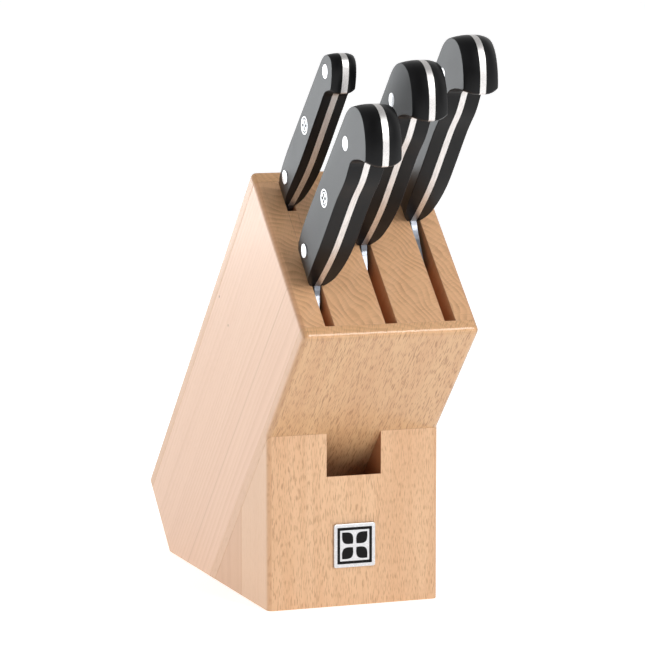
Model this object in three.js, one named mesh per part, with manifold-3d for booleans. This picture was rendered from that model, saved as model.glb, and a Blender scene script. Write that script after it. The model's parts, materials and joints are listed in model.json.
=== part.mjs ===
// Slanted knife block with four riveted knives.
// Millimetres, +Z up, +X to the right, the block's front faces -Y.
// The origin is the bottom centre of the whole object's box.
import * as THREE from "three";
import { mergeVertices } from "three/addons/utils/BufferGeometryUtils.js";
import Module from "manifold-3d";

const wasm = await Module();
wasm.setup();

// ---- driving dimensions: block ----
const blockWidth = 90;
const slantDegrees = 46.2; // rise of the slots above the horizontal
const footHeight = 86.8; // front face, from the floor to the waist
const footFrontThickness = 40; // front one of the foot's two glued blocks
const slantFrontLength = 75.7; // waist to the top front edge
const bodyThickness = 106.5; // across the slant, front face to back face
const backLength = 251.9; // down the back face, top edge to bottom end
const frontBoardThickness = 6.6;
const backBoardThickness = 7.5;
const glueGap = 0.3; // between glued or seated pieces

// ---- driving dimensions: slots and pocket ----
const slotCentres = [-30.25, 0.9, 31.2];
const slotWidths = [4.7, 6, 5.7];
const slicingSlotLength = 53.4; // front slot of the left column
const paringEdgeGap = 1.2; // paring knife's edge to the spacer in front of it
const pocketWidth = 28.5;
const pocketDepth = 14.8; // square to the slant

// ---- driving dimensions: badge ----
const badgeSize = 21.7;
const badgeThickness = 1;
const badgeHeight = 30.4; // centre above the floor
const badgeRecessSize = 17.4;
const badgeRecessDepth = 0.5;
const badgeInlayClearance = 0.15;

// ---- driving dimensions: knives ----
const steelThickness = 3; // full tang and blade spine
const edgeThickness = 0.5;
const flatBelowSpine = 4; // full-thickness band along the spine
const heelDrop = 6; // heel corner below the handle's front end
const toothDepth = 1.3;
const rivetPitch = 39;
const firstRivetHeight = 15.8; // above the handle's front end
const rivetDiameter = 7;
const middleRivetDiameter = 9;
const rivetShankDiameter = 4;
const rivetHeadInset = 2.5; // head starts this far outside the tang
const rivetClearance = 0.15;
const medallionDiameter = 7.2;
const medallionDepth = 0.8;
const restClearance = 0.3; // handle front end above the block's top face

const largeHandle = {
  length: 121.5,
  halfThickness: 8.7,
  pommelDome: 3.3, // the pommel's end curves back by this much at the side faces
  shoulder: 102, // where the straight back turns into the pommel
  hookReach: 35, // pommel tip, measured from the back
  hookHeight: 107.2,
  neckHeight: 92,
  neckDepth: 19.9,
  gripDepths: [21.5, 20.8, 21.6, 22, 21.4, 20],
  gripHeights: [81, 67, 47, 33, 21, 9],
  frontDepth: 18.6,
  rivetDepth: 9.3, // rivet centres, measured from the back
};

const smallHandle = {
  length: 105.5,
  halfThickness: 6.1,
  pommelDome: 2.2,
  shoulder: 93,
  hookReach: 20,
  hookHeight: 93,
  neckHeight: 84,
  neckDepth: 13.6,
  gripDepths: [14.1, 14.6, 15.5, 15.7, 14.9, 13.4],
  gripHeights: [76, 65, 47, 33, 21, 9],
  frontDepth: 12,
  rivetDepth: 6.9,
};

const knives = [
  {
    name: "slicing_knife",
    column: 0,
    frontSlot: true, // its slot ends at the spacer, the others at the back board
    lean: 2.3, // degrees, towards the front of the slot
    mouthGap: 0.85, // blade to the slot's left wall, at the mouth
    tipGap: 0.15, // blade to the slot's right wall, at the point
    spineGap: 5.56, // straight spine's lower end to the slot's rear end
    handle: largeHandle,
    blade: { length: 160, height: 28, tipDrop: 15, tipCurve: 52, teeth: 0 },
  },
  {
    name: "bread_knife",
    column: 1,
    frontSlot: false,
    lean: 1,
    mouthGap: 1,
    tipGap: 0.25,
    spineGap: 21.52,
    handle: largeHandle,
    blade: { length: 200, height: 30, tipDrop: 13, tipCurve: 26, teeth: 26 },
  },
  {
    name: "chef_knife",
    column: 2,
    frontSlot: false,
    lean: 0.3,
    mouthGap: 0.65,
    tipGap: 0.13,
    spineGap: 9.55,
    handle: largeHandle,
    blade: { length: 200, height: 43, tipDrop: 19, tipCurve: 105, teeth: 0 },
  },
  {
    name: "paring_knife",
    column: 0,
    frontSlot: false,
    lean: 3.4,
    mouthGap: 0.85,
    tipGap: 0.24,
    spineGap: 0.084,
    handle: smallHandle,
    blade: { length: 100, height: 14, tipDrop: 8, tipCurve: 34, teeth: 0 },
  },
];

// ---- values worked out from the driving dimensions ----
const slant = THREE.MathUtils.degToRad(slantDegrees);
const lean = Math.PI / 2 - slant;
const waistToTopRise = slantFrontLength * Math.sin(slant);
const topFrontHeight = footHeight + waistToTopRise;
const topFrontY = -slantFrontLength * Math.cos(slant);
const coreFront = frontBoardThickness;
const coreBack = bodyThickness - backBoardThickness;
const spacerFront = coreFront + slicingSlotLength;
const halfWidth = blockWidth / 2;
const tangHalf = steelThickness / 2;
const scaleInner = tangHalf + glueGap;
const spineCurveShare = 0.9; // the spine is straight down to this share of the point's curve
const circleSegments = 16;
const curveSteps = 4;

// How far the spine stands from its slot's rear end at the mouth, once the knife leans.
function spineSetback({ lean: degrees, spineGap, blade }) {
  const straightSpine = blade.length - spineCurveShare * blade.tipCurve;
  return spineGap + straightSpine * Math.sin(THREE.MathUtils.degToRad(degrees));
}

const paringKnife = knives.find((knife) => knife.name === "paring_knife");
const paringSlotLength = spineSetback(paringKnife) + paringKnife.blade.height + paringEdgeGap;
const spacerBack = coreBack - paringSlotLength;

// ---- materials ----
function material(color, roughness, metalness) {
  return new THREE.MeshStandardMaterial({ color, roughness, metalness });
}
const beechFace = material(0xd9a878, 0.55, 0);
const beechEnd = material(0xc98f5e, 0.65, 0);
const blackGrip = material(0x17171a, 0.38, 0);
const satinSteel = material(0xb9bbbd, 0.3, 1);
const polishedSteel = material(0xe2e3e4, 0.12, 1);
const darkEnamel = material(0x26262a, 0.3, 0);

// ---- geometry helpers ----
function toSolid(geometry) {
  const bare = geometry.clone();
  bare.deleteAttribute("normal");
  bare.deleteAttribute("uv");
  const merged = mergeVertices(bare, 1e-4);
  const vertProperties = new Float32Array(merged.attributes.position.array);
  const triVerts = new Uint32Array(merged.index.array);
  const mesh = new wasm.Mesh({ numProp: 3, vertProperties, triVerts });
  return new wasm.Manifold(mesh);
}

function toGeometry(solid) {
  const mesh = solid.getMesh();
  const geometry = new THREE.BufferGeometry();
  const position = new THREE.BufferAttribute(mesh.vertProperties, 3);
  geometry.setAttribute("position", position);
  geometry.setIndex(new THREE.BufferAttribute(mesh.triVerts, 1));
  geometry.computeVertexNormals();
  return geometry;
}

// A side outline drawn as (depth, height), pushed out along X.
function sideExtrusion(shape, xLow, xHigh) {
  const options = { depth: xHigh - xLow, bevelEnabled: false, curveSegments: curveSteps };
  const geometry = new THREE.ExtrudeGeometry(shape, options);
  const turn = new THREE.Matrix4().makeBasis(
    new THREE.Vector3(0, 1, 0),
    new THREE.Vector3(0, 0, 1),
    new THREE.Vector3(1, 0, 0),
  );
  geometry.applyMatrix4(turn);
  geometry.translate(xLow, 0, 0);
  return geometry;
}

// A front outline drawn as (across, height), pushed back along Y.
function frontExtrusion(shape, yLow, yHigh) {
  const options = { depth: yHigh - yLow, bevelEnabled: false, curveSegments: curveSteps };
  const geometry = new THREE.ExtrudeGeometry(shape, options);
  geometry.rotateX(Math.PI / 2);
  geometry.translate(0, yHigh, 0);
  return geometry;
}

function polygon(points) {
  return new THREE.Shape(points.map(([x, y]) => new THREE.Vector2(x, y)));
}

// A round pin along X, from a list of (radius, x) corners.
function turnedPin(corners) {
  const profile = corners.map(([radius, x]) => new THREE.Vector2(radius, x));
  const geometry = new THREE.LatheGeometry(profile, circleSegments);
  geometry.rotateZ(-Math.PI / 2);
  return geometry;
}

function named(name, geometry, look) {
  const mesh = new THREE.Mesh(geometry, look.clone());
  mesh.name = name;
  return mesh;
}

// ---- block body: boards that follow the slant ----
function floorLine(depth) {
  return -(topFrontHeight + depth * Math.cos(slant)) / Math.sin(slant);
}

function boardOutline(front, back) {
  const cornerDepth = (backLength * Math.sin(slant) - topFrontHeight) / Math.cos(slant);
  const points = [
    [front, 0],
    [front, Math.max(floorLine(front), -backLength)],
  ];
  if (cornerDepth > front && cornerDepth < back) {
    points.push([cornerDepth, -backLength]);
  }
  points.push([back, Math.max(floorLine(back), -backLength)]);
  points.push([back, 0]);
  return polygon(points);
}

function board(name, front, back, left, right, look) {
  return named(name, sideExtrusion(boardOutline(front, back), left, right), look);
}

function slotEdges(column) {
  const half = slotWidths[column] / 2;
  return [slotCentres[column] - half, slotCentres[column] + half];
}

function addStaves(body) {
  const names = ["stave_left", "stave_mid_left", "stave_mid_right", "stave_right"];
  const edges = [-halfWidth, ...slotCentres.flatMap((_, column) => slotEdges(column)), halfWidth];
  names.forEach((name, index) => {
    const left = edges[2 * index];
    const right = edges[2 * index + 1];
    body.add(board(name, coreFront + glueGap, coreBack - glueGap, left, right, beechEnd));
  });
}

function addSpacer(body) {
  const [left, right] = slotEdges(0);
  const inside = [left + glueGap, right - glueGap];
  body.add(board("slot_spacer", spacerFront, spacerBack, ...inside, beechEnd));
}

function slantedBody() {
  const body = new THREE.Group();
  body.position.set(0, topFrontY, topFrontHeight);
  body.rotation.x = lean;
  body.add(board("front_board", 0, coreFront, -halfWidth, halfWidth, beechFace));
  body.add(board("back_board", coreBack, bodyThickness, -halfWidth, halfWidth, beechFace));
  addStaves(body);
  addSpacer(body);
  return body;
}

// ---- foot: two glued blocks under the slant, with the shears pocket in their back ----
function addFoot(group) {
  const top = footHeight - glueGap / Math.cos(slant);
  const back = top / Math.tan(slant);
  const wedge = sideExtrusion(polygon([[0, 0], [back, 0], [0, top]]), -halfWidth, halfWidth);
  const spare = 10;
  const reach = 3 * footHeight;
  const cutter = new THREE.BoxGeometry(pocketWidth, pocketDepth + spare, reach);
  cutter.translate(0, (spare - pocketDepth) / 2, 0);
  cutter.rotateX(lean);
  cutter.translate(0, 0, footHeight);
  const solid = toSolid(wedge).subtract(toSolid(cutter));
  const frontHalf = new THREE.BoxGeometry(reach, reach, reach);
  frontHalf.translate(0, footFrontThickness - reach / 2, 0);
  const rearHalf = frontHalf.clone();
  rearHalf.translate(0, reach + glueGap, 0);
  group.add(named("foot_front", toGeometry(solid.intersect(toSolid(frontHalf))), beechFace));
  group.add(named("foot_rear", toGeometry(solid.intersect(toSolid(rearHalf))), beechFace));
}

// ---- badge on the foot's front face ----
function addBadge(group) {
  const low = badgeHeight - badgeSize / 2;
  const back = -glueGap;
  const front = back - badgeThickness;
  const half = badgeSize / 2;
  const outline = polygon([[-half, low], [half, low], [half, low + badgeSize], [-half, low + badgeSize]]);
  const plate = toSolid(frontExtrusion(outline, front, back));
  const recess = new THREE.BoxGeometry(badgeRecessSize, 2 * badgeRecessDepth, badgeRecessSize);
  recess.translate(0, front, badgeHeight);
  group.add(named("badge_plate", toGeometry(plate.subtract(toSolid(recess))), polishedSteel));
  const inlaySize = badgeRecessSize - 2 * badgeInlayClearance;
  const inlayDepth = badgeRecessDepth - badgeInlayClearance;
  const inlay = new THREE.BoxGeometry(inlaySize, inlayDepth, inlaySize);
  inlay.translate(0, front + inlayDepth / 2, badgeHeight);
  group.add(named("badge_inlay", inlay, darkEnamel));
}

// ---- knives, drawn with the back of the handle on Y = 0 and the point down ----
// An inset pulls the pommel's end in and leaves the grip as it is.
function handleOutline(handle, inset = 0) {
  const { shoulder, hookHeight, neckHeight, neckDepth, frontDepth } = handle;
  const length = handle.length - inset;
  const hookReach = handle.hookReach - inset;
  const crown = -0.45 * hookReach;
  const drop = length - hookHeight;
  const shape = new THREE.Shape();
  shape.moveTo(0, 0);
  shape.lineTo(0, shoulder);
  shape.bezierCurveTo(0, (shoulder + 1.4 * length) / 2.4, crown / 2, length, crown, length);
  shape.bezierCurveTo(
    -0.68 * hookReach, length,
    -0.9 * hookReach, hookHeight + 0.45 * drop,
    -hookReach, hookHeight + 1,
  );
  shape.lineTo(-hookReach + 0.8, hookHeight - 0.8);
  shape.bezierCurveTo(
    -0.8 * hookReach, hookHeight - 0.45 * drop,
    -neckDepth, neckHeight + 0.35 * drop,
    -neckDepth, neckHeight,
  );
  const belly = handle.gripDepths.map((depth, i) => new THREE.Vector2(-depth, handle.gripHeights[i]));
  shape.splineThru([...belly, new THREE.Vector2(-frontDepth, 0)]);
  shape.closePath();
  return shape;
}

// A closed solid through outlines of equal point counts, one at each x in a rising list.
function loft(outlines, xs) {
  const count = outlines[0].length;
  const positions = outlines.flatMap((ring, k) => ring.flatMap((point) => [xs[k], point.x, point.y]));
  const indices = [];
  for (let k = 0; k + 1 < outlines.length; k += 1) {
    for (let i = 0; i < count; i += 1) {
      const a = k * count + i;
      const b = k * count + ((i + 1) % count);
      indices.push(a, b, b + count, a, b + count, a + count);
    }
  }
  const last = (outlines.length - 1) * count;
  for (const [a, b, c] of THREE.ShapeUtils.triangulateShape(outlines[0], [])) {
    indices.push(a, c, b);
  }
  for (const [a, b, c] of THREE.ShapeUtils.triangulateShape(outlines[outlines.length - 1], [])) {
    indices.push(last + a, last + b, last + c);
  }
  const geometry = new THREE.BufferGeometry();
  geometry.setAttribute("position", new THREE.Float32BufferAttribute(positions, 3));
  geometry.setIndex(indices);
  return geometry;
}

// The grip from its inner face to its side face, with the pommel domed.
function domedGrip(handle) {
  const fractions = [0, 0.45, 0.75, 1];
  const xs = fractions.map((f) => THREE.MathUtils.lerp(scaleInner, handle.halfThickness, f));
  const outlines = fractions.map((f) => {
    const points = handleOutline(handle, handle.pommelDome * f * f).getPoints(curveSteps).slice(0, -1);
    return THREE.ShapeUtils.isClockWise(points) ? points.reverse() : points;
  });
  return loft(outlines, xs);
}

// Half of the handle seen from its belly, narrowing towards the front end.
function planOutline(handle) {
  const { length, halfThickness } = handle;
  const mouth = 0.4 * halfThickness;
  const cheek = 0.85 * halfThickness;
  const spare = 5;
  const shape = new THREE.Shape();
  shape.moveTo(0, 0);
  shape.lineTo(mouth, 0);
  shape.quadraticCurveTo(0.78 * halfThickness, 4, cheek, 10);
  shape.quadraticCurveTo(halfThickness, 20, halfThickness, 34);
  shape.lineTo(halfThickness, length + spare);
  shape.lineTo(0, length + spare);
  shape.closePath();
  return shape;
}

function rivetHeights(handle) {
  return [0, 1, 2].map((index) => {
    const diameter = index === 1 ? middleRivetDiameter : rivetDiameter;
    const height = firstRivetHeight + index * rivetPitch;
    return { diameter, height, depth: -handle.rivetDepth };
  });
}

function alongX(radius, low, high, depth, height) {
  const geometry = new THREE.CylinderGeometry(radius, radius, high - low, circleSegments);
  geometry.rotateZ(Math.PI / 2);
  geometry.translate((low + high) / 2, depth, height);
  return toSolid(geometry);
}

// One grip scale on the +X side, bored for the rivets.
function scaleSolid(handle) {
  const spare = 5;
  const side = toSolid(domedGrip(handle));
  const plan = frontExtrusion(planOutline(handle), -handle.hookReach - spare, spare);
  let solid = side.intersect(toSolid(plan));
  const headStart = scaleInner + rivetHeadInset;
  for (const { diameter, depth, height } of rivetHeights(handle)) {
    const headRadius = diameter / 2 + rivetClearance;
    const shankRadius = rivetShankDiameter / 2 + rivetClearance;
    solid = solid.subtract(alongX(headRadius, headStart, handle.halfThickness + spare, depth, height));
    solid = solid.subtract(alongX(shankRadius, 0, headStart + spare / 2, depth, height));
  }
  return solid;
}

function rivetGeometry(handle, diameter, hasMedallion) {
  const end = handle.halfThickness;
  const headStart = scaleInner + rivetHeadInset + rivetClearance;
  const head = diameter / 2;
  const shank = rivetShankDiameter / 2;
  const seat = medallionDiameter / 2;
  const seatFloor = -end + medallionDepth;
  const near = hasMedallion ? [[0, seatFloor], [seat, seatFloor], [seat, -end]] : [[0, -end]];
  return turnedPin([
    ...near,
    [head, -end],
    [head, -headStart],
    [shank, -headStart],
    [shank, headStart],
    [head, headStart],
    [head, end],
    [0, end],
  ]);
}

function bladeOutline(blade, handle) {
  const { length, height, tipDrop, tipCurve, teeth } = blade;
  const heelHeight = -heelDrop;
  const edgeStop = -length + tipCurve;
  const shape = new THREE.Shape();
  shape.moveTo(0, 2 * heelDrop);
  shape.lineTo(-handle.frontDepth, 2 * heelDrop);
  shape.lineTo(-handle.frontDepth, 1);
  shape.quadraticCurveTo(-handle.frontDepth - 0.5, heelHeight / 2, -height, heelHeight);
  const pitch = (heelHeight - edgeStop) / Math.max(teeth, 1);
  for (let tooth = 0; tooth < teeth; tooth += 1) {
    const start = heelHeight - tooth * pitch;
    shape.lineTo(-height + toothDepth, start - pitch / 2);
    shape.lineTo(-height, start - pitch);
  }
  shape.lineTo(-height, edgeStop);
  shape.quadraticCurveTo(-height, -length + tipCurve * 0.35, -tipDrop, -length);
  shape.quadraticCurveTo(-0.5, -length + tipCurve * 0.3, 0, -length + tipCurve * spineCurveShare);
  shape.closePath();
  return shape;
}

// The blade's cross-section: a full-thickness spine that thins to the edge.
function bladeSection(height) {
  return polygon([
    [-tangHalf, 1],
    [-tangHalf, -flatBelowSpine],
    [-edgeThickness / 2, -height - 1],
    [edgeThickness / 2, -height - 1],
    [tangHalf, -flatBelowSpine],
    [tangHalf, 1],
  ]);
}

function bladeSolid(blade, handle) {
  const options = { depth: blade.length + 3 * heelDrop, bevelEnabled: false };
  const wedge = new THREE.ExtrudeGeometry(bladeSection(blade.height), options);
  wedge.translate(0, 0, -blade.length - heelDrop);
  const plate = sideExtrusion(bladeOutline(blade, handle), -tangHalf, tangHalf);
  const tang = sideExtrusion(handleOutline(handle), -tangHalf, tangHalf);
  let solid = toSolid(plate).intersect(toSolid(wedge)).add(toSolid(tang));
  for (const { depth, height } of rivetHeights(handle)) {
    const radius = rivetShankDiameter / 2 + rivetClearance;
    solid = solid.subtract(alongX(radius, -steelThickness, steelThickness, depth, height));
  }
  return solid;
}

function addRivets(group, knife) {
  const names = ["front", "middle", "rear"];
  rivetHeights(knife.handle).forEach(({ diameter, depth, height }, index) => {
    const hasMedallion = index === 1;
    const geometry = rivetGeometry(knife.handle, diameter, hasMedallion);
    geometry.translate(0, depth, height);
    group.add(named(`${knife.name}_rivet_${names[index]}`, geometry, polishedSteel));
    if (hasMedallion) {
      group.add(medallion(knife, depth, height));
    }
  });
}

function medallion(knife, depth, height) {
  const radius = medallionDiameter / 2 - rivetClearance;
  const face = -knife.handle.halfThickness;
  const thickness = medallionDepth - rivetClearance;
  const geometry = new THREE.CylinderGeometry(radius, radius, thickness, circleSegments);
  geometry.rotateZ(Math.PI / 2);
  geometry.translate(face + thickness / 2, depth, height);
  return named(`${knife.name}_medallion`, geometry, darkEnamel);
}

// The handle's lowest corner rests on the block's top face.
// The blade stands near its slot's left wall at the mouth and near the right wall at the point.
function knifeGroup(knife) {
  const group = new THREE.Group();
  const tilt = THREE.MathUtils.degToRad(knife.lean);
  const rise = knife.handle.frontDepth * Math.sin(tilt) + restClearance;
  const [leftWall, rightWall] = slotEdges(knife.column);
  const sideRoom = rightWall - leftWall - steelThickness - knife.mouthGap - knife.tipGap;
  const sideLean = Math.asin(sideRoom / knife.blade.length);
  const across = leftWall + knife.mouthGap + tangHalf;
  const rearWall = knife.frontSlot ? spacerFront : coreBack;
  group.name = knife.name;
  group.position.set(across, rearWall - spineSetback(knife), rise);
  group.rotation.set(tilt, -sideLean, 0, "YXZ");
  group.add(named(`${knife.name}_blade`, toGeometry(bladeSolid(knife.blade, knife.handle)), satinSteel));
  const right = scaleSolid(knife.handle);
  group.add(named(`${knife.name}_scale_right`, toGeometry(right), blackGrip));
  group.add(named(`${knife.name}_scale_left`, toGeometry(right.mirror([1, 0, 0])), blackGrip));
  addRivets(group, knife);
  return group;
}

// ---- assembly ----
const model = new THREE.Group();
const body = slantedBody();
for (const knife of knives) {
  body.add(knifeGroup(knife));
}
model.add(body);
addFoot(model);
addBadge(model);

const group = new THREE.Group();
group.add(model);
group.updateMatrixWorld(true);
const box = new THREE.Box3().setFromObject(group, true);
const centre = box.getCenter(new THREE.Vector3());
model.position.set(-centre.x, -centre.y, -box.min.z);
group.updateMatrixWorld(true);

export default group;
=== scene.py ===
"""Slanted beech knife block with four riveted knives, on a pale floor in soft studio light.

Each piece is drawn in millimetres in a frame of its own, then put in place in the row frame, in metres.
"""

import json
import math

import bmesh
import bpy
from mathutils import Matrix, Vector
from mathutils.geometry import interpolate_bezier


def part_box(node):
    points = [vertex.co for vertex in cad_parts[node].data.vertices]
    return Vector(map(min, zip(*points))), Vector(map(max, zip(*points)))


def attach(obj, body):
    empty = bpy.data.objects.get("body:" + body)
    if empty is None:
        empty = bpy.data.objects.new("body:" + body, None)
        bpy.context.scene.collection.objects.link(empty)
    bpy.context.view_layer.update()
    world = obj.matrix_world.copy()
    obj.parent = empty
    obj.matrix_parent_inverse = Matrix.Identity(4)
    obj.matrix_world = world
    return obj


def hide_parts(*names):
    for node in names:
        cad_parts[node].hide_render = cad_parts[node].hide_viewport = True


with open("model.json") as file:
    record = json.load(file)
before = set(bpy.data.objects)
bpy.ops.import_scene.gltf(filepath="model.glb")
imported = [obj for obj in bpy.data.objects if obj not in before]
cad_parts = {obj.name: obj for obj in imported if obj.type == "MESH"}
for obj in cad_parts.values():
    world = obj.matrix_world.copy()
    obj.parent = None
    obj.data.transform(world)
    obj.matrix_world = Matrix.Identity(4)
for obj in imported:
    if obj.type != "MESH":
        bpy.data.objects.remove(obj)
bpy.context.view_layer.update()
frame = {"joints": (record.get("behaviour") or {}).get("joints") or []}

# ---- sizes: block, in millimetres ----
SLANT = math.radians(46.2)  # rise of the slots above the horizontal
LEAN = math.pi / 2 - SLANT
BLOCK_WIDTH = 90
FOOT_HEIGHT = 86.8
FOOT_JOINT = 40.15  # the foot's two glued blocks meet this far behind its face
SLANT_FRONT = 75.7
BODY_THICKNESS = 106.5
BACK_LENGTH = 251.9
FRONT_BOARD = 6.75
BACK_BOARD = 7.65
SLOTS = ((-30.25, 4.7), (0.9, 6.0), (31.2, 5.7))  # middle and width of each column
SPACER_FRONT = 60.0
SPACER_BACK = 79.6
POCKET_WIDTH = 28.5
POCKET_DEPTH = 14.8
CORNER_RADIUS = 3.0
ARRIS = 0.22  # softened edge of a sawn slot, a glue line or the sole
SHAVING = 0.01  # planed off each side of the joint under the body

# ---- sizes: badge ----
BADGE = 21.7
BADGE_THICKNESS = 1.0
FRAME_OUTER = 18.3
FRAME_INNER = 15.4
BADGE_CUT = 0.45

# ---- sizes: knives ----
STEEL = 3.0
EDGE = 0.4
FLAT_BELOW_SPINE = 4.0
HEEL_DROP = 6.0
TOOTH_DEPTH = 1.3
RIVET_PITCH = 39.0
FIRST_RIVET = 15.8
RIVET = 7.0
MIDDLE_RIVET = 9.0
SHANK = 4.0
HEAD_DEPTH = 3.2
BORE_PLAY = 0.06
TAPER_START = 34  # the grips narrow below this height, and faster below the bend
TAPER_BEND = 10
MEDALLION = 7.2
MEDALLION_DISC = 5.8

LARGE_HANDLE = {
    "length": 121.5,
    "half": 8.7,
    "dome": 3.3,
    "shoulder": 102,
    "hook_reach": 35,
    "hook_height": 107.2,
    "neck": (19.9, 92),
    "belly": ((21.5, 81), (20.8, 67), (21.6, 47), (22, 33), (21.4, 21), (20, 9)),
    "front": 18.6,
    "rivet_depth": 9.3,
}
SMALL_HANDLE = {
    "length": 105.5,
    "half": 6.1,
    "dome": 2.2,
    "shoulder": 93,
    "hook_reach": 20,
    "hook_height": 93,
    "neck": (13.6, 84),
    "belly": ((14.1, 76), (14.6, 65), (15.5, 47), (15.7, 33), (14.9, 21), (13.4, 9)),
    "front": 12,
    "rivet_depth": 6.9,
}
KNIVES = {
    "slicing_knife": (LARGE_HANDLE, {"length": 160, "height": 28, "tip_drop": 15, "tip": 52, "teeth": 0}),
    "bread_knife": (LARGE_HANDLE, {"length": 200, "height": 30, "tip_drop": 13, "tip": 26, "teeth": 26}),
    "chef_knife": (LARGE_HANDLE, {"length": 200, "height": 43, "tip_drop": 19, "tip": 105, "teeth": 0}),
    "paring_knife": (SMALL_HANDLE, {"length": 100, "height": 14, "tip_drop": 8, "tip": 34, "teeth": 0}),
}

# ---- camera, in metres from the middle of the foot's face ----
CAMERA_ACROSS = -0.52397
CAMERA_AWAY = 1.37067
CAMERA_HEIGHT = 0.3202
CAMERA_TURN = math.radians(-20.316)
CAMERA_RISE = math.radians(6.958)
CAMERA_LENS = 168.33

# ---- places, from the frame ----
MM = Matrix.Scale(0.001, 4)
foot_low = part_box("foot_front")[0]
BLOCK = Matrix.Translation((0, foot_low.y, 0)) @ MM
TOP_EDGE = Vector((0, -SLANT_FRONT * math.cos(SLANT), FOOT_HEIGHT + SLANT_FRONT * math.sin(SLANT)))
SLOPE = Matrix.Translation(TOP_EDGE) @ Matrix.Rotation(LEAN, 4, "X")  # x across, y back, z up the slots


# ---- shaders ----
class Num:
    """A socket of a finish, with the arithmetic that its maths needs."""

    def __init__(self, finish, socket):
        self.finish = finish
        self.socket = socket

    def out(self, name):
        """Another output of the same node."""
        return Num(self.finish, self.socket.node.outputs[name])

    def maths(self, operation, *values):
        return self.finish.node("ShaderNodeMath", {"operation": operation}, dict(enumerate(values)))

    def __add__(self, other):
        return self.maths("ADD", self, other)

    def __radd__(self, other):
        return self.maths("ADD", other, self)

    def __sub__(self, other):
        return self.maths("SUBTRACT", self, other)

    def __rsub__(self, other):
        return self.maths("SUBTRACT", other, self)

    def __mul__(self, other):
        return self.maths("MULTIPLY", self, other)

    def __rmul__(self, other):
        return self.maths("MULTIPLY", other, self)

    def __truediv__(self, other):
        return self.maths("DIVIDE", self, other)

    def __pow__(self, other):
        return self.maths("POWER", self, other)

    def __abs__(self):
        return self.maths("ABSOLUTE", self)

    def between(self, low, high):
        """0 at low and 1 at high, smooth and clamped; low may be the larger."""
        settings = {"interpolation_type": "SMOOTHSTEP"}
        inputs = {"Value": self, "From Min": low, "From Max": high, "To Min": 0.0, "To Max": 1.0}
        return self.finish.node("ShaderNodeMapRange", settings, inputs)


class Finish:
    """A material of one Principled shader, with numbers on its own sockets and nodes that feed it."""

    def __init__(self, name, **flat):
        self.material = bpy.data.materials.new(name)
        self.material.use_nodes = True
        self.tree = self.material.node_tree
        self.shader = self.tree.nodes["Principled BSDF"]
        for socket, value in flat.items():
            self.shader.inputs[socket.replace("_", " ")].default_value = value

    def node(self, kind, settings=None, inputs=None, output=0):
        """Adds a node, with its settings first and then a value or a link for each input."""
        made = self.tree.nodes.new(kind)
        for name, value in (settings or {}).items():
            setattr(made, name, value)
        for name, value in (inputs or {}).items():
            if isinstance(value, Num):
                self.tree.links.new(value.socket, made.inputs[name])
            else:
                made.inputs[name].default_value = value
        return Num(self, made.outputs[output])

    def feed(self, socket, value):
        self.tree.links.new(value.socket, self.shader.inputs[socket])

    def place(self, turn=0.0, centre=(0, 0, 0)):
        """The point on the piece in millimetres from a centre, in axes leaned back about x."""
        shift = Matrix.Rotation(-turn, 4, "X") @ Vector(centre)
        inputs = {
            "Vector": self.node("ShaderNodeTexCoord", output="Object"),
            "Location": tuple(-shift),
            "Rotation": (-turn, 0, 0),
            "Scale": (1000, 1000, 1000),
        }
        return self.node("ShaderNodeMapping", {"vector_type": "POINT"}, inputs)

    def stretched(self, point, x, y, z):
        inputs = {0: point, 1: (x, y, z)}
        return self.node("ShaderNodeVectorMath", {"operation": "MULTIPLY"}, inputs)

    def joined(self, x, y, z):
        return self.node("ShaderNodeCombineXYZ", None, {0: x, 1: y, 2: z})

    def noise(self, point, detail=2.0, roughness=0.5):
        inputs = {"Vector": point, "Scale": 1.0, "Detail": detail, "Roughness": roughness}
        return self.node("ShaderNodeTexNoise", {"noise_dimensions": "3D"}, inputs)

    def cells(self, point):
        """Distance to the nearest of scattered points, with their colours as the Color output."""
        return self.node("ShaderNodeTexVoronoi", {"feature": "F1"}, {"Vector": point, "Scale": 1.0})

    def blend(self, amount, first, second):
        """From the first colour to the second."""
        return self.node("ShaderNodeMix", {"data_type": "RGBA"}, {0: amount, 6: first, 7: second}, 2)

    def relief(self, height, depth_mm, strength=1.0):
        inputs = {"Strength": strength, "Distance": depth_mm * 0.001, "Height": height}
        self.feed("Normal", self.node("ShaderNodeBump", None, inputs))


def colour(red, green, blue):
    """A colour given as it shows on screen, 0 to 255."""

    def linear(value):
        part = value / 255
        return part / 12.92 if part <= 0.04045 else ((part + 0.055) / 1.055) ** 2.4

    return linear(red), linear(green), linear(blue), 1.0


OIL = 0.35  # gloss of the oiled surface
RING_SPACING = 3.0
END_TONE = colour(246, 192, 140)
KNOT_TONE = colour(120, 78, 50)


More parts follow.
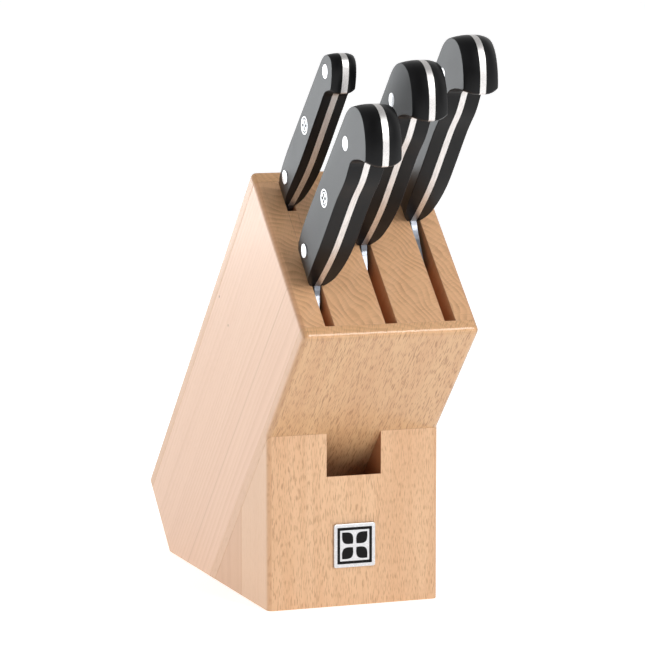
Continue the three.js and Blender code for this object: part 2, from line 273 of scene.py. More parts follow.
def beech(name, turn, pith, shades, flecks=0.6, rings=1.0, streak=None, knots=(), dash=3.2, polish=0.0):
    """Oiled beech with its grain up the slots if it is turned, and upright if not.

    The pith is the ring centre across the grain, in mm; dash is a fleck's length, and polish the extra
    gloss of all faces but the flanks.
    """
    pale, warm, deep, ray, flank_tone_light_and_shade = shades
    finish = Finish(name, Coat_Weight=OIL, Coat_Roughness=0.14)
    centre = BLOCK @ TOP_EDGE * 1000 if turn else BLOCK.translation * 1000
    point = finish.place(turn, centre)
    normal = finish.node("ShaderNodeNewGeometry", output="Normal")
    directions = {0: normal, 1: (0, -math.sin(turn), math.cos(turn))}
    facing = finish.node("ShaderNodeVectorMath", {"operation": "DOT_PRODUCT"}, directions, 1)
    sawn = abs(facing).between(0.45, 0.85)
    sideways = abs(finish.node("ShaderNodeSeparateXYZ", None, {0: normal}))
    flank = sideways.between(0.8, 0.97)
    # mask for painted shade: the rounded edges round the side faces
    arris = sideways.between(0.2, 0.45) * sideways.between(0.97, 0.8)

    drift = finish.noise(finish.stretched(point, 0.02, 0.02, 0.004), 1.0) - 0.5
    axes = finish.node("ShaderNodeSeparateXYZ", None, {0: point})
    across = axes - pith[0] + drift * 4
    back = axes.out("Y") - pith[1] + drift * 3
    along = axes.out("Z")
    radius = (across * across + back * back) ** 0.5
    arc = across.maths("ARCTAN2", back, across) * math.hypot(*pith)

    waver = finish.noise(finish.stretched(point, 0.16, 0.16, 0.012), 3.0, 0.6)
    width = finish.noise(finish.stretched(point, 0.045, 0.045, 0.003), 1.0)
    phase = radius / RING_SPACING + width * 4.5 + waver * 0.45
    years = phase.maths("FRACT", phase)
    season = finish.noise(finish.stretched(point, 0.11, 0.11, 0.004), 1.0).between(0.3, 0.7)
    late_wood = years.between(0.1, 0.96) * years.between(1.0, 0.94) * (season * 0.75 + 0.35) * rings
    fibre = finish.noise(finish.stretched(point, 2.6, 2.6, 0.09), 4.0, 0.65)
    bands = finish.noise(finish.stretched(point, 0.07, 0.07, 0.006), 3.0, 0.6)

    threads = finish.joined(arc * 2.4, radius * 0.2, along * (0.85 / dash))
    dense = finish.noise(threads, 1.0).between(0.5, 0.68)
    ray_cells = finish.cells(finish.joined(arc * 1.9, radius * 0.16, along * (0.48 / dash)))
    shade = finish.node("ShaderNodeSeparateColor", None, {0: ray_cells.out("Color")})
    bold = ray_cells.between(0.36, 0.12) * shade.between(0.2, 0.9)
    ticks = (dense * 0.62 + bold * 0.45) * flecks * (1 - sawn * 0.45) * (1 - flank * 0.85)

    tone = finish.blend(bands.between(0.3, 0.7), pale, warm)
    # painted light and shade: faces turned sideways take the flank tone, with painted sheen on the boards
    # and painted shade on the foot
    tone = finish.blend(flank * 0.7, tone, flank_tone_light_and_shade)
    tone = finish.blend(sawn * 0.8, tone, END_TONE)
    tone = finish.blend(late_wood * (0.2 + sawn * 0.3) + fibre.between(0.5, 0.85) * 0.2, tone, deep)
    tone = finish.blend(ticks, tone, ray)
    # painted shade: the rounded edges round the side faces are darkened towards the deep tone
    tone = finish.blend(arris * 0.5, tone, deep)
    if streak:
        depth, amount = streak
        gap = axes.out("Y") - depth + drift * 5
        left_face = axes.between(1.5 - BLOCK_WIDTH / 2, 0.2 - BLOCK_WIDTH / 2)
        line = abs(gap).between(0.9, 0.1) * left_face * amount
        tone = finish.blend(line, tone, ray)
    for knot in knots:
        offset = finish.node("ShaderNodeVectorMath", {"operation": "DISTANCE"}, {0: point, 1: knot}, 1)
        tone = finish.blend(offset.between(1.0, 0.35) * 0.75, tone, KNOT_TONE)
    finish.feed("Base Color", tone)
    finish.feed("Roughness", 0.45 + fibre * 0.12 + ticks * 0.12 + sawn * 0.08)
    finish.relief(fibre * 0.5 + 1 - ticks * 0.8, 0.05, 0.6)
    if polish:
        finish.feed("Coat Weight", (1 - flank) * polish + OIL)
    return finish.material


def grip_black():
    """Moulded black grip, satin, with a very fine grain and faint handling marks."""
    finish = Finish("grip_black", Specular_IOR_Level=0.2)
    point = finish.place(LEAN)
    pebble = finish.noise(finish.stretched(point, 4.5, 4.5, 4.5), 2.0)
    rub = finish.noise(finish.stretched(point, 0.09, 0.09, 0.03), 4.0, 0.6)
    tone = finish.blend(rub.between(0.35, 0.7), colour(11, 11, 12), colour(17, 17, 19))
    finish.feed("Base Color", tone)
    finish.feed("Roughness", 0.3 + rub * 0.08 + pebble * 0.05)
    finish.relief(pebble, 0.02, 0.3)
    return finish.material


def ground_steel(name, tone, rough, stretch, bite=0.5):
    """Steel with fine grinding lines; stretch sets how they run, across, back and up the slots."""
    finish = Finish(name, Metallic=1.0)
    point = finish.place(LEAN)
    lines = finish.noise(finish.stretched(point, *stretch), 3.0, 0.6)
    cloud = finish.noise(finish.stretched(point, 0.08, 0.08, 0.08), 2.0)
    bright = colour(*tone)
    dull = colour(*(value * 0.9 for value in tone))
    finish.feed("Base Color", finish.blend(lines.between(0.35, 0.7), bright, dull))
    finish.feed("Roughness", rough + lines * 0.1 + cloud * 0.05)
    finish.relief(lines, 0.01, bite)
    return finish.material


def polished_steel():
    """Buffed rivet heads and badge face, with faint swirls."""
    finish = Finish("polished_steel", Metallic=1.0)
    point = finish.place(LEAN)
    swirl = finish.noise(finish.stretched(point, 0.9, 0.9, 0.9), 4.0, 0.7)
    tone = finish.blend(swirl.between(0.3, 0.75), colour(222, 222, 224), colour(208, 209, 212))
    finish.feed("Base Color", tone)
    finish.feed("Roughness", 0.22 + swirl * 0.14)
    finish.relief(swirl, 0.01, 0.2)
    return finish.material


def dark_enamel():
    """Fired black enamel with slight orange peel."""
    finish = Finish("dark_enamel", Specular_IOR_Level=0.15)
    point = finish.place()
    peel = finish.noise(finish.stretched(point, 1.6, 1.6, 1.6), 2.0)
    tone = finish.blend(peel, colour(12, 12, 13), colour(22, 22, 24))
    finish.feed("Base Color", tone)
    finish.feed("Roughness", 0.42 + peel * 0.15)
    finish.relief(peel, 0.015, 0.4)
    return finish.material


def tones(*shades):
    """The pale, warm, deep and ray tones of a wood, and its flank tone, which holds painted light and
    shade for the side faces.
    """
    return [colour(*shade) for shade in shades]


# The last tone of each is the flank tone: paler and pinker as painted sheen on the body's boards, darker
# as painted shade on the foot's front block.
LONG_TONES = tones((212, 171, 126), (203, 158, 114), (180, 131, 87), (146, 100, 60), (212, 170, 138))
# The core's tones are paler and pinker than the boards', partly the beech's own tone and partly painted
# sheen on the lit left face.
CORE_AND_SHEEN_TONES = tones((224, 184, 152), (214, 170, 137), (184, 132, 94), (164, 114, 78), (222, 181, 150))
FOOT_TONES = tones((233, 192, 151), (224, 179, 137), (202, 152, 110), (160, 111, 74), (206, 166, 132))
REAR_TONES = tones((210, 164, 122), (202, 153, 112), (178, 128, 88), (146, 100, 64), (206, 162, 126))
# Slot walls: lighter and warmer than the core as painted light inside the slots.
SLOT_LIT_TONES = tones((232, 176, 130), (224, 166, 120), (196, 140, 96), (170, 114, 74), (228, 170, 124))
# Pocket walls: dark tones as painted shade deep in the shears pocket.
POCKET_SHADED_TONES = tones((166, 108, 68), (158, 100, 62), (134, 82, 48), (114, 68, 38), (160, 102, 64))

WOOD = {
    "slot_lit_wall": beech("beech_slot_lit_wall", LEAN, (-62, -6), SLOT_LIT_TONES, 0.3, 1.0),
    "pocket_shaded_wall": beech("beech_pocket_shaded_wall", 0, (30, -140), POCKET_SHADED_TONES, 0.4, 0.7),
    "front_board": beech(
        "beech_front_board",
        LEAN,
        (-70, -150),
        LONG_TONES,
        1.0,
        0.6,
        dash=4.0,
        polish=0.4,
    ),
    "back_board": beech("beech_back_board", LEAN, (160, 190), LONG_TONES, 0.6, 0.6),
    "core": beech(
        "beech_core",
        LEAN,
        (-62, -6),
        CORE_AND_SHEEN_TONES,
        0.42,
        1.0,
        streak=(33.0, 0.3),
        knots=((-45, 95.6, -82.8), (-45, 76.5, -82.7)),
    ),
    "foot_front": beech("beech_foot_front", 0, (30, -140), FOOT_TONES, 0.8, 0.7),
    "foot_rear": beech("beech_foot_rear", 0, (-150, 60), REAR_TONES, 0.6, 0.8, knots=((-45, 74, 12),)),
}
GRIP = grip_black()
TANG = ground_steel("tang_steel", (238, 235, 233), 0.36, (3.0, 3.0, 0.25))
# painted shade: the blade is a darker copy of the tang's steel, for where it shows in the slot mouths;
# its smoother grind is its own
SHADED_BLADE = ground_steel("blade_steel_painted_shade", (140, 144, 152), 0.24, (0.2, 0.2, 2.2), 0.15)
RIVET_STEEL = polished_steel()
ENAMEL = dark_enamel()


# ---- shaping ----
def linked(name, data):
    """A new object in the scene, at the origin."""
    made = bpy.data.objects.new(name, data)
    bpy.context.scene.collection.objects.link(made)
    return made


def data_of(name, mesh):
    """Mesh data from a drawn mesh, which is used up."""
    data = bpy.data.meshes.new(name)
    mesh.to_mesh(data)
    mesh.free()
    return data


def shown(name, mesh, place, material, body, nodes=(), smooth=35):
    """Puts a drawn mesh in its place as a named piece of the object."""
    mesh.transform(place)
    bmesh.ops.remove_doubles(mesh, verts=mesh.verts, dist=1e-7)
    bmesh.ops.recalc_face_normals(mesh, faces=mesh.faces)
    for face in mesh.faces:
        face.smooth = True
    data = data_of(name, mesh)
    data.set_sharp_from_angle(angle=math.radians(smooth))
    data.materials.append(material)
    made = linked(name, data)
    shading = made.modifiers.new("even_shading", "WEIGHTED_NORMAL")
    shading.keep_sharp = True
    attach(made, body)
    if nodes:
        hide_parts(*nodes)
    return made


def cut_off(mesh, point, normal):
    """Cuts away what lies on the normal's side of a plane, and caps the cut."""
    whole = mesh.verts[:] + mesh.edges[:] + mesh.faces[:]
    cut = bmesh.ops.bisect_plane(mesh, geom=whole, plane_co=point, plane_no=normal, clear_outer=True)
    rim = [part for part in cut["geom_cut"] if isinstance(part, bmesh.types.BMEdge)]
    bmesh.ops.holes_fill(mesh, edges=rim)


def score(mesh, point, normal):
    """Adds edges where a plane crosses the mesh."""
    whole = mesh.verts[:] + mesh.edges[:] + mesh.faces[:]
    bmesh.ops.bisect_plane(mesh, geom=whole, plane_co=point, plane_no=normal)


def soften(mesh, edges, offset, segments):
    bmesh.ops.bevel(
        mesh,
        geom=edges,
        offset=offset,
        offset_type="OFFSET",
        affect="EDGES",
        segments=segments,
        profile=0.5,
        material=-1,
        clamp_overlap=True,
    )


def soften_sharp(mesh, offset, segments, beyond=30):
    edges = [edge for edge in mesh.edges if edge.calc_face_angle(0) > math.radians(beyond)]
    soften(mesh, edges, offset, segments)


def push(mesh, faces, along):
    """Extrudes faces and moves the new ones."""
    made = bmesh.ops.extrude_face_region(mesh, geom=faces)["geom"]
    moved = [part for part in made if isinstance(part, bmesh.types.BMVert)]
    bmesh.ops.translate(mesh, verts=moved, vec=along)


def bezier(knots, steps):
    """Points of one curve in side view, from its four knots."""
    return [point.to_2d() for point in interpolate_bezier(*[Vector((*knot, 0)) for knot in knots], steps)]


def down_slope(back, up):
    """A point of the slanted body's side outline, in the block's frame."""
    return SLOPE @ Vector((0, back, up))


# ---- block ----
def whole_block():
    """Foot and body as one blank: its side outline pushed across, with the outer edges rounded over."""
    top_back = down_slope(BODY_THICKNESS, 0)
    heel = down_slope(BODY_THICKNESS, -BACK_LENGTH)
    reach = heel.z / math.cos(SLANT)
    toe = down_slope(BODY_THICKNESS - reach, -BACK_LENGTH)
    sole_front = Vector((0, 0, 0))
    waist = Vector((0, 0, FOOT_HEIGHT))
    outline = [sole_front, waist, down_slope(0, 0), top_back, heel, toe]
    mesh = bmesh.new()
    left = Vector((-BLOCK_WIDTH / 2, 0, 0))
    face = mesh.faces.new([mesh.verts.new(corner + left) for corner in outline])
    push(mesh, [face], (BLOCK_WIDTH, 0, 0))
    bmesh.ops.recalc_face_normals(mesh, faces=mesh.faces)
    outer = []
    for edge in mesh.edges:
        low = max(vert.co.z for vert in edge.verts) < 1
        crosses = abs(edge.verts[0].co.x - edge.verts[1].co.x) > 1
        crease = crosses and abs(edge.verts[0].co.z - FOOT_HEIGHT) < 1
        if not low and not crease and not (crosses and edge.verts[0].co.z < 1):
            outer.append(edge)
    soften(mesh, outer, CORNER_RADIUS, 5)
    return mesh


def body_part(blank, *planes):
    """A board or stave of the slanted body: the blank above the foot's joint, inside the given planes.

    Each plane is an axis of the slope, its place on it, and the side of it that is cut away.
    """
    mesh = blank.copy()
    cut_off(mesh, down_slope(SHAVING, 0), SLOPE.to_3x3() @ Vector((0, -1, 0)))
    for axis, limit, side in planes:
        direction = Vector((0, 0, 0))
        direction[axis] = side
        at = Vector((0, 0, 0))
        at[axis] = limit
        cut_off(mesh, SLOPE @ at, SLOPE.to_3x3() @ direction)
    soften_sharp(mesh, ARRIS, 2)
    return mesh


def sawn_wall_light_and_shade(made, wood, inside):
    """Gives a sawn finish to the faces that the test picks by their middle and normal; its tones are
    painted light in the slots and painted shade in the pocket.
    """
    made.data.materials.append(WOOD[wood])
    to_block = BLOCK.inverted()
    for face in made.data.polygons:
        if inside(to_block @ face.center, face.normal):
            face.material_index = 1


def build_body(blank):
    core_front = (1, FRONT_BOARD, -1)
    core_back = (1, BODY_THICKNESS - BACK_BOARD, 1)
    front = body_part(blank, (1, FRONT_BOARD, 1))
    shown("front_board_wood", front, BLOCK, WOOD["front_board"], "block", ["front_board"])
    rear = body_part(blank, (1, BODY_THICKNESS - BACK_BOARD, -1))
    shown("back_board_wood", rear, BLOCK, WOOD["back_board"], "block", ["back_board"])
    walls = [(middle - width / 2, middle + width / 2) for middle, width in SLOTS]
    staves = {
        "stave_left": [(0, walls[0][0], 1)],
        "stave_mid_left": [(0, walls[0][1], -1), (0, walls[1][0], 1)],
        "stave_mid_right": [(0, walls[1][1], -1), (0, walls[2][0], 1)],
        "stave_right": [(0, walls[2][1], -1)],
    }

    def in_slot(middle, normal):
        return abs(normal.x) > 0.99 and abs(middle.x) < BLOCK_WIDTH / 2 - 1

    for name, sides in staves.items():
        stave = body_part(blank, core_front, core_back, *sides)
        made = shown(f"{name}_wood", stave, BLOCK, WOOD["core"], "block", [name])
        # painted light: the slot walls take the lighter slot wood
        sawn_wall_light_and_shade(made, "slot_lit_wall", in_slot)
    left, right = walls[0]
    spacer = body_part(blank, (1, SPACER_FRONT, -1), (1, SPACER_BACK, 1), (0, left, -1), (0, right, 1))
    shown("slot_spacer_wood", spacer, BLOCK, WOOD["core"], "block", ["slot_spacer"])


def nearest(mesh, point):
    return min(mesh.verts, key=lambda vert: (vert.co - point).length)


def build_foot(blank):
    """The wedge under the slanted body, with the shears pocket cut down its joint face."""
    mesh = blank.copy()
    slope_out = SLOPE.to_3x3() @ Vector((0, 1, 0))
    cut_off(mesh, down_slope(-SHAVING, 0), slope_out)
    half = POCKET_WIDTH / 2
    score(mesh, (-half, 0, 0), (1, 0, 0))
    score(mesh, (half, 0, 0), (1, 0, 0))
    score(mesh, down_slope(-POCKET_DEPTH, 0), slope_out)
    to_slope = SLOPE.inverted()
    pocket = []
    for face in mesh.faces:
        middle = face.calc_center_median()
        if abs(middle.x) < half and (to_slope @ middle).y > -POCKET_DEPTH + 0.01:
            pocket.append(face)
    bmesh.ops.delete(mesh, geom=pocket, context="FACES")
    notch = POCKET_DEPTH / math.cos(SLANT)
    run = POCKET_DEPTH / math.sin(SLANT)
    back = FOOT_HEIGHT / math.tan(SLANT)
    corners = {}
    for side in (-half, half):
        corners[side] = [
            nearest(mesh, Vector((side, 0, FOOT_HEIGHT))),
            nearest(mesh, Vector((side, 0, FOOT_HEIGHT - notch))),
            nearest(mesh, Vector((side, back - run, 0))),
            nearest(mesh, Vector((side, back, 0))),
        ]
        mesh.faces.new(corners[side])
    mesh.faces.new([corners[-half][1], corners[half][1], corners[half][2], corners[-half][2]])
    bmesh.ops.recalc_face_normals(mesh, faces=mesh.faces)

    def in_pocket(middle, _):
        return abs(middle.x) < half + 0.1 and (to_slope @ middle).y > -POCKET_DEPTH - 0.1

    for name, side in (("foot_front", 1), ("foot_rear", -1)):
        part = mesh.copy()
        cut_off(part, (0, FOOT_JOINT, 0), (0, side, 0))
        soften_sharp(part, ARRIS, 2)
        made = shown(f"{name}_wood", part, BLOCK, WOOD[name], "block", [name])
        # painted shade: the pocket's faces take the dark pocket wood
        sawn_wall_light_and_shade(made, "pocket_shaded_wall", in_pocket)
    mesh.free()


# ---- badge ----
def square_plate(size, low, high, corner, arris):
    """A square plate standing on the foot's face, from low to high in front of it."""
    mesh = bmesh.new()
    bmesh.ops.create_cube(mesh, size=1)
    bmesh.ops.scale(mesh, vec=(size, high - low, size), verts=mesh.verts)
    bmesh.ops.translate(mesh, vec=(0, -(low + high) / 2, 0), verts=mesh.verts)
    long_enough = (high - low) / 2
    deep = [edge for edge in mesh.edges if abs(edge.verts[0].co.y - edge.verts[1].co.y) > long_enough]
    soften(mesh, deep, corner, 5)
    front = [edge for edge in mesh.edges if all(vert.co.y < -high + 1e-4 for vert in edge.verts)]
    rim = [edge for edge in front if edge.calc_face_angle(0) > 0.5]
    if arris:
        soften(mesh, rim, arris, 2)
    return mesh


def rosette(radius, width, low, high, petals=4):
    """Petals set cornerwise round a bare middle, as one thin relief facing forwards."""
    mesh = bmesh.new()
    for index in range(petals):
        turn = Matrix.Rotation((index + 0.5) * math.tau / petals, 4, "Y")
        tip = Vector((radius, 0, 0))
        root = Vector((radius * 0.14, 0, 0))
        swell = Vector((0, 0, width))
        near = Vector((radius * 0.35, 0, 0))
        side = [root, root + swell + near, tip + swell * 0.9 - near, tip]
        upper = interpolate_bezier(*side, 12)
        lower = [Vector((point.x, 0, -point.z)) for point in reversed(upper)]
        points = [point - Vector((0, low, 0)) for point in upper[:-1] + lower[:-1]]
        face = mesh.faces.new([mesh.verts.new(turn @ point) for point in points])
        push(mesh, [face], (0, low - high, 0))
    return mesh


def build_badge():
    low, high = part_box("badge_plate")
    middle = (low + high) / 2
    place = Matrix.Translation((middle.x, high.y, middle.z)) @ MM
    base = BADGE_THICKNESS - BADGE_CUT
    enamel_top = base + 0.33
    field_top = base + 0.42
    recess = square_plate(FRAME_OUTER, base, BADGE_THICKNESS + 1, 0.25, 0)
    plate = bored(square_plate(BADGE, 0, BADGE_THICKNESS, 0.9, 0.12), recess)
    nodes = ["badge_plate"]
    shown("badge_plate_steel", plate, place, RIVET_STEEL, "block", nodes, smooth=20)
    enamel = square_plate(FRAME_OUTER - 0.1, base, enamel_top, 0.2, 0)
    shown("badge_enamel", enamel, place, ENAMEL, "block", ["badge_inlay"])
    field = square_plate(FRAME_INNER, enamel_top, field_top, 0.2, 0.03)
    shown("badge_field", field, place, RIVET_STEEL, "block")
    flower = rosette(9.4, 4.2, field_top, base + 0.48)
    shown("badge_rosette", flower, place, ENAMEL, "block")


# ---- knives: x through the handle, y towards the back of the handle, z up to the pommel ----
def handle_outline(handle, inset=0.0):
    """The handle from the side as (depth, height) points; an inset draws the pommel's end in."""
    length = handle["length"] - inset
    reach = handle["hook_reach"] - inset
    hook = handle["hook_height"]
    shoulder = handle["shoulder"]
    neck_depth, neck = handle["neck"]
    crown = -0.45 * reach
    drop = length - hook
    beak = (-reach, hook + 1)
    under_beak = (-reach + 0.8, hook - 0.8)
    curves = [
        ((0, shoulder), (0, (shoulder + 1.4 * length) / 2.4), (crown / 2, length), (crown, length), 12),
        ((crown, length), (-0.68 * reach, length), (-0.9 * reach, hook + 0.45 * drop), beak, 10),
        (beak, (-reach, hook + 0.4), (-reach + 0.3, hook - 0.5), under_beak, 4),
        (
            under_beak,
            (-0.8 * reach, hook - 0.45 * drop),
            (-neck_depth, neck + 0.35 * drop),
            (-neck_depth, neck),
            10,
        ),
    ]
    stops = [(-neck_depth, neck)]
    stops += [(-depth, height) for depth, height in handle["belly"]]
    stops.append((-handle["front"], 0))
    for index in range(len(stops) - 1):
        before = stops[max(index - 1, 0)]
        start, end = stops[index], stops[index + 1]
        after = stops[min(index + 2, len(stops) - 1)]
        out = tuple(a + (b - c) / 6 for a, b, c in zip(start, end, before))
        into = tuple(a - (b - c) / 6 for a, b, c in zip(end, after, start))
        curves.append((start, out, into, end, 5))
    points = [Vector((0, 0)), Vector((0, shoulder * 0.5))]
    for start, out, into, end, steps in curves:
        points += bezier((start, out, into, end), steps)[:-1]
    points.append(Vector(stops[-1]))
    return points


def ring_of(mesh, points, x):
    """A closed loop of edges through side-view points at one x."""
    verts = [mesh.verts.new((x, point.x, point.y)) for point in points]
    pairs = zip(verts, verts[1:] + verts[:1])
    return [mesh.edges.new(pair) for pair in pairs]


def cheek(handle, height):
    """Half the handle's thickness at a height: it narrows to its front end along two smooth curves."""
    half = handle["half"]
    if height >= TAPER_START:
        return half
    if height >= TAPER_BEND:
        turn = (math.sqrt(400 + 16 * (height - TAPER_BEND)) - 20) / 8
        return half * ((1 - turn) ** 2 * 0.85 + 2 * turn * (1 - turn) + turn**2)
    turn = (math.sqrt(64 + 8 * max(height, 0)) - 8) / 4
    return half * ((1 - turn) ** 2 * 0.4 + 2 * turn * (1 - turn) * 0.78 + turn**2 * 0.85)


def rivets(handle):
    """Name, head diameter and height of each rivet."""
    sizes = (("front", RIVET), ("middle", MIDDLE_RIVET), ("rear", RIVET))
    return [(name, size, FIRST_RIVET + index * RIVET_PITCH) for index, (name, size) in enumerate(sizes)]


def grip_scale(handle):
    """The grip half on the +x side, domed at the pommel and narrowed to the front end."""
    mesh = bmesh.new()
    inner = STEEL / 2 + 0.02
    loops = []
    for share in (0, 0.3, 0.55, 0.75, 0.9, 1):
        x = inner + share * (handle["half"] - inner)
        loops.append(ring_of(mesh, handle_outline(handle, handle["dome"] * share * share), x))
    for first, second in zip(loops, loops[1:]):
        bmesh.ops.bridge_loops(mesh, edges=first + second)
    bmesh.ops.holes_fill(mesh, edges=loops[0])
    bmesh.ops.holes_fill(mesh, edges=loops[-1])
    for height in (1.2, 2.5, 4, 6, 8, TAPER_BEND, 13, 17, 22, 28, TAPER_START):
        score(mesh, (0, 0, height), (0, 0, 1))
    for vert in mesh.verts:
        vert.co.x *= cheek(handle, vert.co.z) / handle["half"] if vert.co.x > inner + 0.01 else 1
    bmesh.ops.recalc_face_normals(mesh, faces=mesh.faces)
    outer = [edge for edge in mesh.edges if edge.calc_face_angle(0) > math.radians(38)]
    outer = [edge for edge in outer if min(vert.co.x for vert in edge.verts) > inner + 0.5]
    soften(mesh, outer, 0.45, 3)
    return mesh


def pin(corners, steps=36):
    """A turned pin along x from (radius, x) corners, closed at the axis."""
    mesh = bmesh.new()
    verts = [mesh.verts.new((x, radius, 0)) for radius, x in corners]
    edges = [mesh.edges.new(pair) for pair in zip(verts, verts[1:])]
    bmesh.ops.spin(
        mesh,
        geom=verts + edges,
        cent=(0, 0, 0),
        axis=(1, 0, 0),
        angle=math.tau,
        steps=steps,
        use_merge=True,
    )
    bmesh.ops.remove_doubles(mesh, verts=mesh.verts, dist=1e-4)
    return mesh


def bored(mesh, cutter):
    """The mesh with the cutter's volume taken out; both are used up."""
    pair = []
    for part in (mesh, cutter):
        bmesh.ops.recalc_face_normals(part, faces=part.faces)
        pair.append(linked("blank", data_of("blank", part)))
    work, tool = pair
    drill = work.modifiers.new("drill", "BOOLEAN")
    drill.operation = "DIFFERENCE"
    drill.solver = "EXACT"
    drill.object = tool
    graph = bpy.context.evaluated_depsgraph_get()
    result = bmesh.new()
    result.from_object(work, graph)
    for part in pair:
        data = part.data
        bpy.data.objects.remove(part)
        bpy.data.meshes.remove(data)
    return result


def rivet_bores(handle, reach, head_start):
    """Stepped bores for the three rivets, out to the reach on the +x side."""
    cutter = bmesh.new()
    for _, diameter, height in rivets(handle):
        head = diameter / 2 + BORE_PLAY
        shank = SHANK / 2 + BORE_PLAY
        shank_side = [(0, -reach), (shank, -reach), (shank, head_start)]
        head_side = [(head, head_start), (head, reach), (0, reach)]
        part = pin(shank_side + head_side)
        part.transform(Matrix.Translation((0, -handle["rivet_depth"], height)))
        data = data_of("bore", part)
        cutter.from_mesh(data)
        bpy.data.meshes.remove(data)
    return cutter


def side_outline(handle, blade):
    """Tang and blade from the side, from the spine's foot round the pommel and the edge to the point."""
    points = handle_outline(handle)
    height, length = blade["height"], blade["length"]
    front = handle["front"]
    edge_stop = -length + blade["tip"]
    heel = [
        (-front, 1),
        (-front - 0.5, -HEEL_DROP / 2),
        (-height + 0.6, -HEEL_DROP + 1),
        (-height, -HEEL_DROP),
    ]
    points += bezier(heel, 8)[1:]
    teeth = blade["teeth"]
    pitch = (-HEEL_DROP - edge_stop) / max(teeth, 1)
    for tooth in range(teeth):
        start = -HEEL_DROP - tooth * pitch
        for share in (0.18, 0.5, 0.82):
            depth = TOOTH_DEPTH * (1 if share == 0.5 else 0.72)
            points.append(Vector((-height + depth, start - share * pitch)))
        points.append(Vector((-height, start - pitch)))
    tip = blade["tip"]
    belly = ((-height, edge_stop), (-height, -length + tip * 0.35), (-blade["tip_drop"], -length))
    spine = ((-blade["tip_drop"], -length), (-0.5, -length + tip * 0.3), (0, -length + tip * 0.9))
    for start, bend, end in (belly, spine):
        first = [a + (b - a) * 2 / 3 for a, b in zip(start, bend)]
        second = [c + (b - c) * 2 / 3 for b, c in zip(bend, end)]
        points += bezier((start, first, second, end), 14)[1:]
    return points


def steel_half_thickness(blade, depth, height):
    """Full at the tang and spine, ground down to the edge below the heel."""
    full = STEEL / 2
    fall = min(max((-depth - FLAT_BELOW_SPINE) / (blade["height"] - FLAT_BELOW_SPINE), 0), 1)
    ground = full + (EDGE / 2 - full) * fall
    if height > 0:
        return full
    if height < -HEEL_DROP:
        return ground
    return full + (ground - full) * (-height / HEEL_DROP) ** 1.5


def knife_steel(handle, blade):
    """Blade and full tang in one plate, with a softened tang and a ground blade."""
    mesh = bmesh.new()
    ring_of(mesh, side_outline(handle, blade), -STEEL / 2)
    bmesh.ops.remove_doubles(mesh, verts=mesh.verts, dist=1e-3)
    bmesh.ops.holes_fill(mesh, edges=mesh.edges[:])
    push(mesh, mesh.faces[:], (STEEL, 0, 0))
    bmesh.ops.recalc_face_normals(mesh, faces=mesh.faces)
    score(mesh, (0, -FLAT_BELOW_SPINE, 0), (0, 1, 0))
    for height in (0, -1.5, -3, -4.5, -HEEL_DROP):
        score(mesh, (0, 0, height), (0, 0, 1))
    tang = [edge for edge in mesh.edges if edge.calc_face_angle(0) > math.radians(38)]
    tang = [edge for edge in tang if min(vert.co.z for vert in edge.verts) > 1]
    for vert in mesh.verts:
        side = 1 if vert.co.x > 0 else -1
        vert.co.x = side * steel_half_thickness(blade, vert.co.y, vert.co.z)
    soften(mesh, tang, 0.25, 2)
    return mesh


def knife_place(name, handle):
    """The knife's frame in the row frame, from its joint's direction and its front rivet."""
    joint = next(joint for joint in frame["joints"] if joint["child"] == name)
    up = Vector(joint["axis"]).normalized()
    back = SLOPE.to_3x3() @ Vector((0, 1, 0))
    across = back.cross(up).normalized()
    depth = up.cross(across)
    turn = Matrix((across, depth, up)).transposed().to_4x4()
    low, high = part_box(f"{name}_rivet_front")
    local = Vector((0, -handle["rivet_depth"], FIRST_RIVET)) * 0.001
    return Matrix.Translation((low + high) / 2 - turn @ local) @ turn @ MM


def build_rivets(name, handle, place):
    end = handle["half"]
    for label, diameter, height in rivets(handle):
        head = diameter / 2
        start = end - HEAD_DEPTH + 0.1
        face = [(head, end - 0.15), (head - 0.15, end), (head * 0.5, end + 0.06), (0, end + 0.08)]
        side = [(SHANK / 2, start), (head, start)] + face
        other = [(radius, -x) for radius, x in reversed(side)]
        if label == "middle":
            seat = MEDALLION / 2
            sunk = [(0, -end + 0.5), (seat, -end + 0.5), (seat, -end + 0.05), (seat + 0.12, -end)]
            other = sunk + [(head - 0.15, -end)] + other[3:]
        shaft = pin(other + side)
        here = place @ Matrix.Translation((0, -handle["rivet_depth"], height))
        piece_name = f"{name}_rivet_{label}"
        shown(f"{piece_name}_steel", shaft, here, RIVET_STEEL, name, [piece_name])
        if label == "middle":
            build_medallion(name, here, end)


def build_medallion(name, here, end):
    """A set-in disc on the left head: a dark ring round a bright disc with a dark rosette."""
    facing = here @ Matrix.Translation((-end, 0, 0)) @ Matrix.Rotation(math.radians(-90), 4, "Z")
    ring = MEDALLION / 2 - 0.05
    dark = pin([(0, -0.45), (ring, -0.45), (ring, -0.14), (ring - 0.06, -0.1), (0, -0.1)])
    spun = Matrix.Rotation(math.radians(-90), 4, "Z")
    dark.transform(spun)
    shown(f"{name}_medallion_ring", dark, facing, ENAMEL, name, [f"{name}_medallion"])
    edge = MEDALLION_DISC / 2
    bright = pin([(0, -0.11), (edge, -0.11), (edge, -0.02), (edge - 0.08, 0.02), (0, 0.04)])
    bright.transform(spun)
    shown(f"{name}_medallion_disc", bright, facing, RIVET_STEEL, name)
    flower = rosette(2.75, 1.3, 0.02, 0.07)
    shown(f"{name}_medallion_rosette", flower, facing, ENAMEL, name)


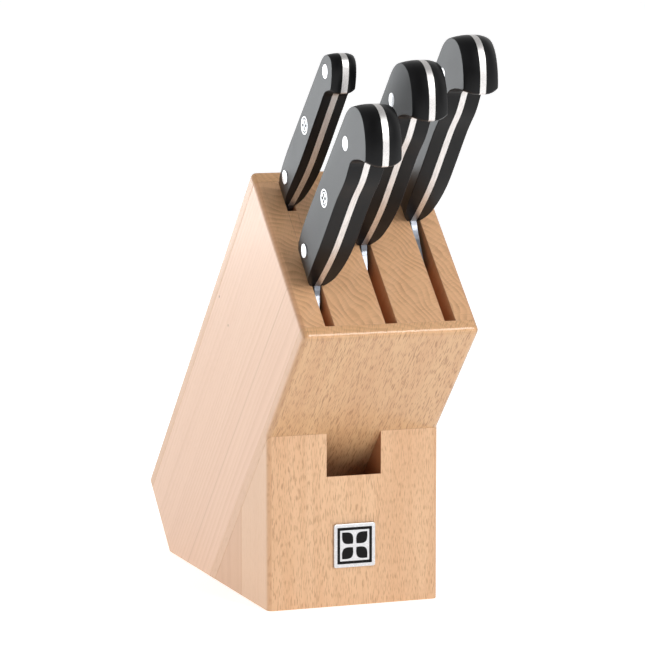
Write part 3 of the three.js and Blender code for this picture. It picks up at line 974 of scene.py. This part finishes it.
def build_knife(name, handle, blade):
    place = knife_place(name, handle)
    reach = handle["half"] + 4
    head_start = handle["half"] - HEAD_DEPTH
    for side, label in ((1, "right"), (-1, "left")):
        scale = bored(grip_scale(handle), rivet_bores(handle, reach, head_start))
        bmesh.ops.scale(scale, vec=(side, 1, 1), verts=scale.verts)
        piece_name = f"{name}_scale_{label}"
        shown(f"{piece_name}_grip", scale, place, GRIP, name, [piece_name])
    steel = bored(knife_steel(handle, blade), rivet_bores(handle, reach, reach - 0.5))
    for face in steel.faces:
        face.material_index = 1 if face.calc_center_median().z < 0.5 else 0
    made = shown(f"{name}_steel", steel, place, TANG, name, [f"{name}_blade"])
    # the blade's faces take the darker steel with painted shade
    made.data.materials.append(SHADED_BLADE)
    build_rivets(name, handle, place)


# ---- stage ----
def build_stage():
    mesh = bmesh.new()
    bmesh.ops.create_circle(mesh, cap_ends=True, radius=60, segments=96)
    data = data_of("floor", mesh)
    floor = linked("floor", data)
    finish = Finish("pale_floor", Roughness=0.75, Emission_Color=(1, 1, 1, 1), Emission_Strength=0.55)
    speck = finish.noise(finish.stretched(finish.place(), 0.02, 0.02, 0.02), 2.0)
    finish.feed("Base Color", finish.blend(speck, colour(250, 250, 250), colour(247, 247, 248)))
    data.materials.append(finish.material)


def area_light(name, place, target, size, power, warmth=(1, 1, 1)):
    data = bpy.data.lights.new(name, "AREA")
    data.shape = "RECTANGLE"
    data.size, data.size_y = size
    data.energy = power
    data.color = warmth
    light = linked(name, data)
    light.location = place
    light.rotation_euler = (Vector(target) - Vector(place)).to_track_quat("-Z", "Y").to_euler()


class Surround(Finish):
    """The light from all round the studio, made with the same nodes."""

    def __init__(self, name):
        self.world = bpy.data.worlds.new(name)
        self.world.use_nodes = True
        self.tree = self.world.node_tree
        self.shader = self.tree.nodes["Background"]


def build_light():
    """Brighter behind and low down, dimmer overhead and in front, with three soft panels."""
    studio = Surround("studio")
    axes = studio.node("ShaderNodeSeparateXYZ", None, {0: studio.node("ShaderNodeTexCoord")})
    depth = {"Value": axes.out("Y"), "From Min": -0.7, "From Max": 0.3, "To Min": 0.3, "To Max": 0.85}
    studio.feed("Strength", studio.node("ShaderNodeMapRange", None, depth))
    height = {"Value": axes.out("Z"), "From Min": 0.25, "From Max": 0.85}
    overhead = studio.node("ShaderNodeMapRange", None, height)
    studio.feed("Color", studio.blend(overhead, (1, 1, 1, 1), (0.6, 0.6, 0.6, 1)))
    bpy.context.scene.world = studio.world
    area_light("left_softbox", (-2.2, 0.1, 0.9), (0, 0, 0.12), (1.6, 1.6), 6.0)
    area_light("front_softbox", (0.75, -1.6, 1.25), (0, -0.05, 0.1), (0.6, 1.0), 17)
    area_light("back_panel", (-0.75, 1.7, 0.35), (-0.02, -0.1, 0.2), (1.3, 0.8), 9.5, (0.93, 0.97, 1.0))


def build_camera():
    """Low from the front left, far back, as the block is usually shown."""
    data = bpy.data.cameras.new("camera")
    data.sensor_width = 36
    data.lens = CAMERA_LENS
    data.clip_end = 200
    camera = linked("camera", data)
    turn, rise = CAMERA_TURN, CAMERA_RISE
    camera.location = (CAMERA_ACROSS, foot_low.y - CAMERA_AWAY, CAMERA_HEIGHT)
    ahead = Vector((-math.sin(turn) * math.cos(rise), math.cos(turn) * math.cos(rise), -math.sin(rise)))
    camera.rotation_euler = ahead.to_track_quat("-Z", "Y").to_euler()
    bpy.context.scene.camera = camera
    bpy.context.scene.view_settings.view_transform = "Standard"


blank = whole_block()
build_body(blank)
build_foot(blank)
blank.free()
build_badge()
for knife, (handle, blade) in KNIVES.items():
    build_knife(knife, handle, blade)
build_stage()
build_light()
build_camera()
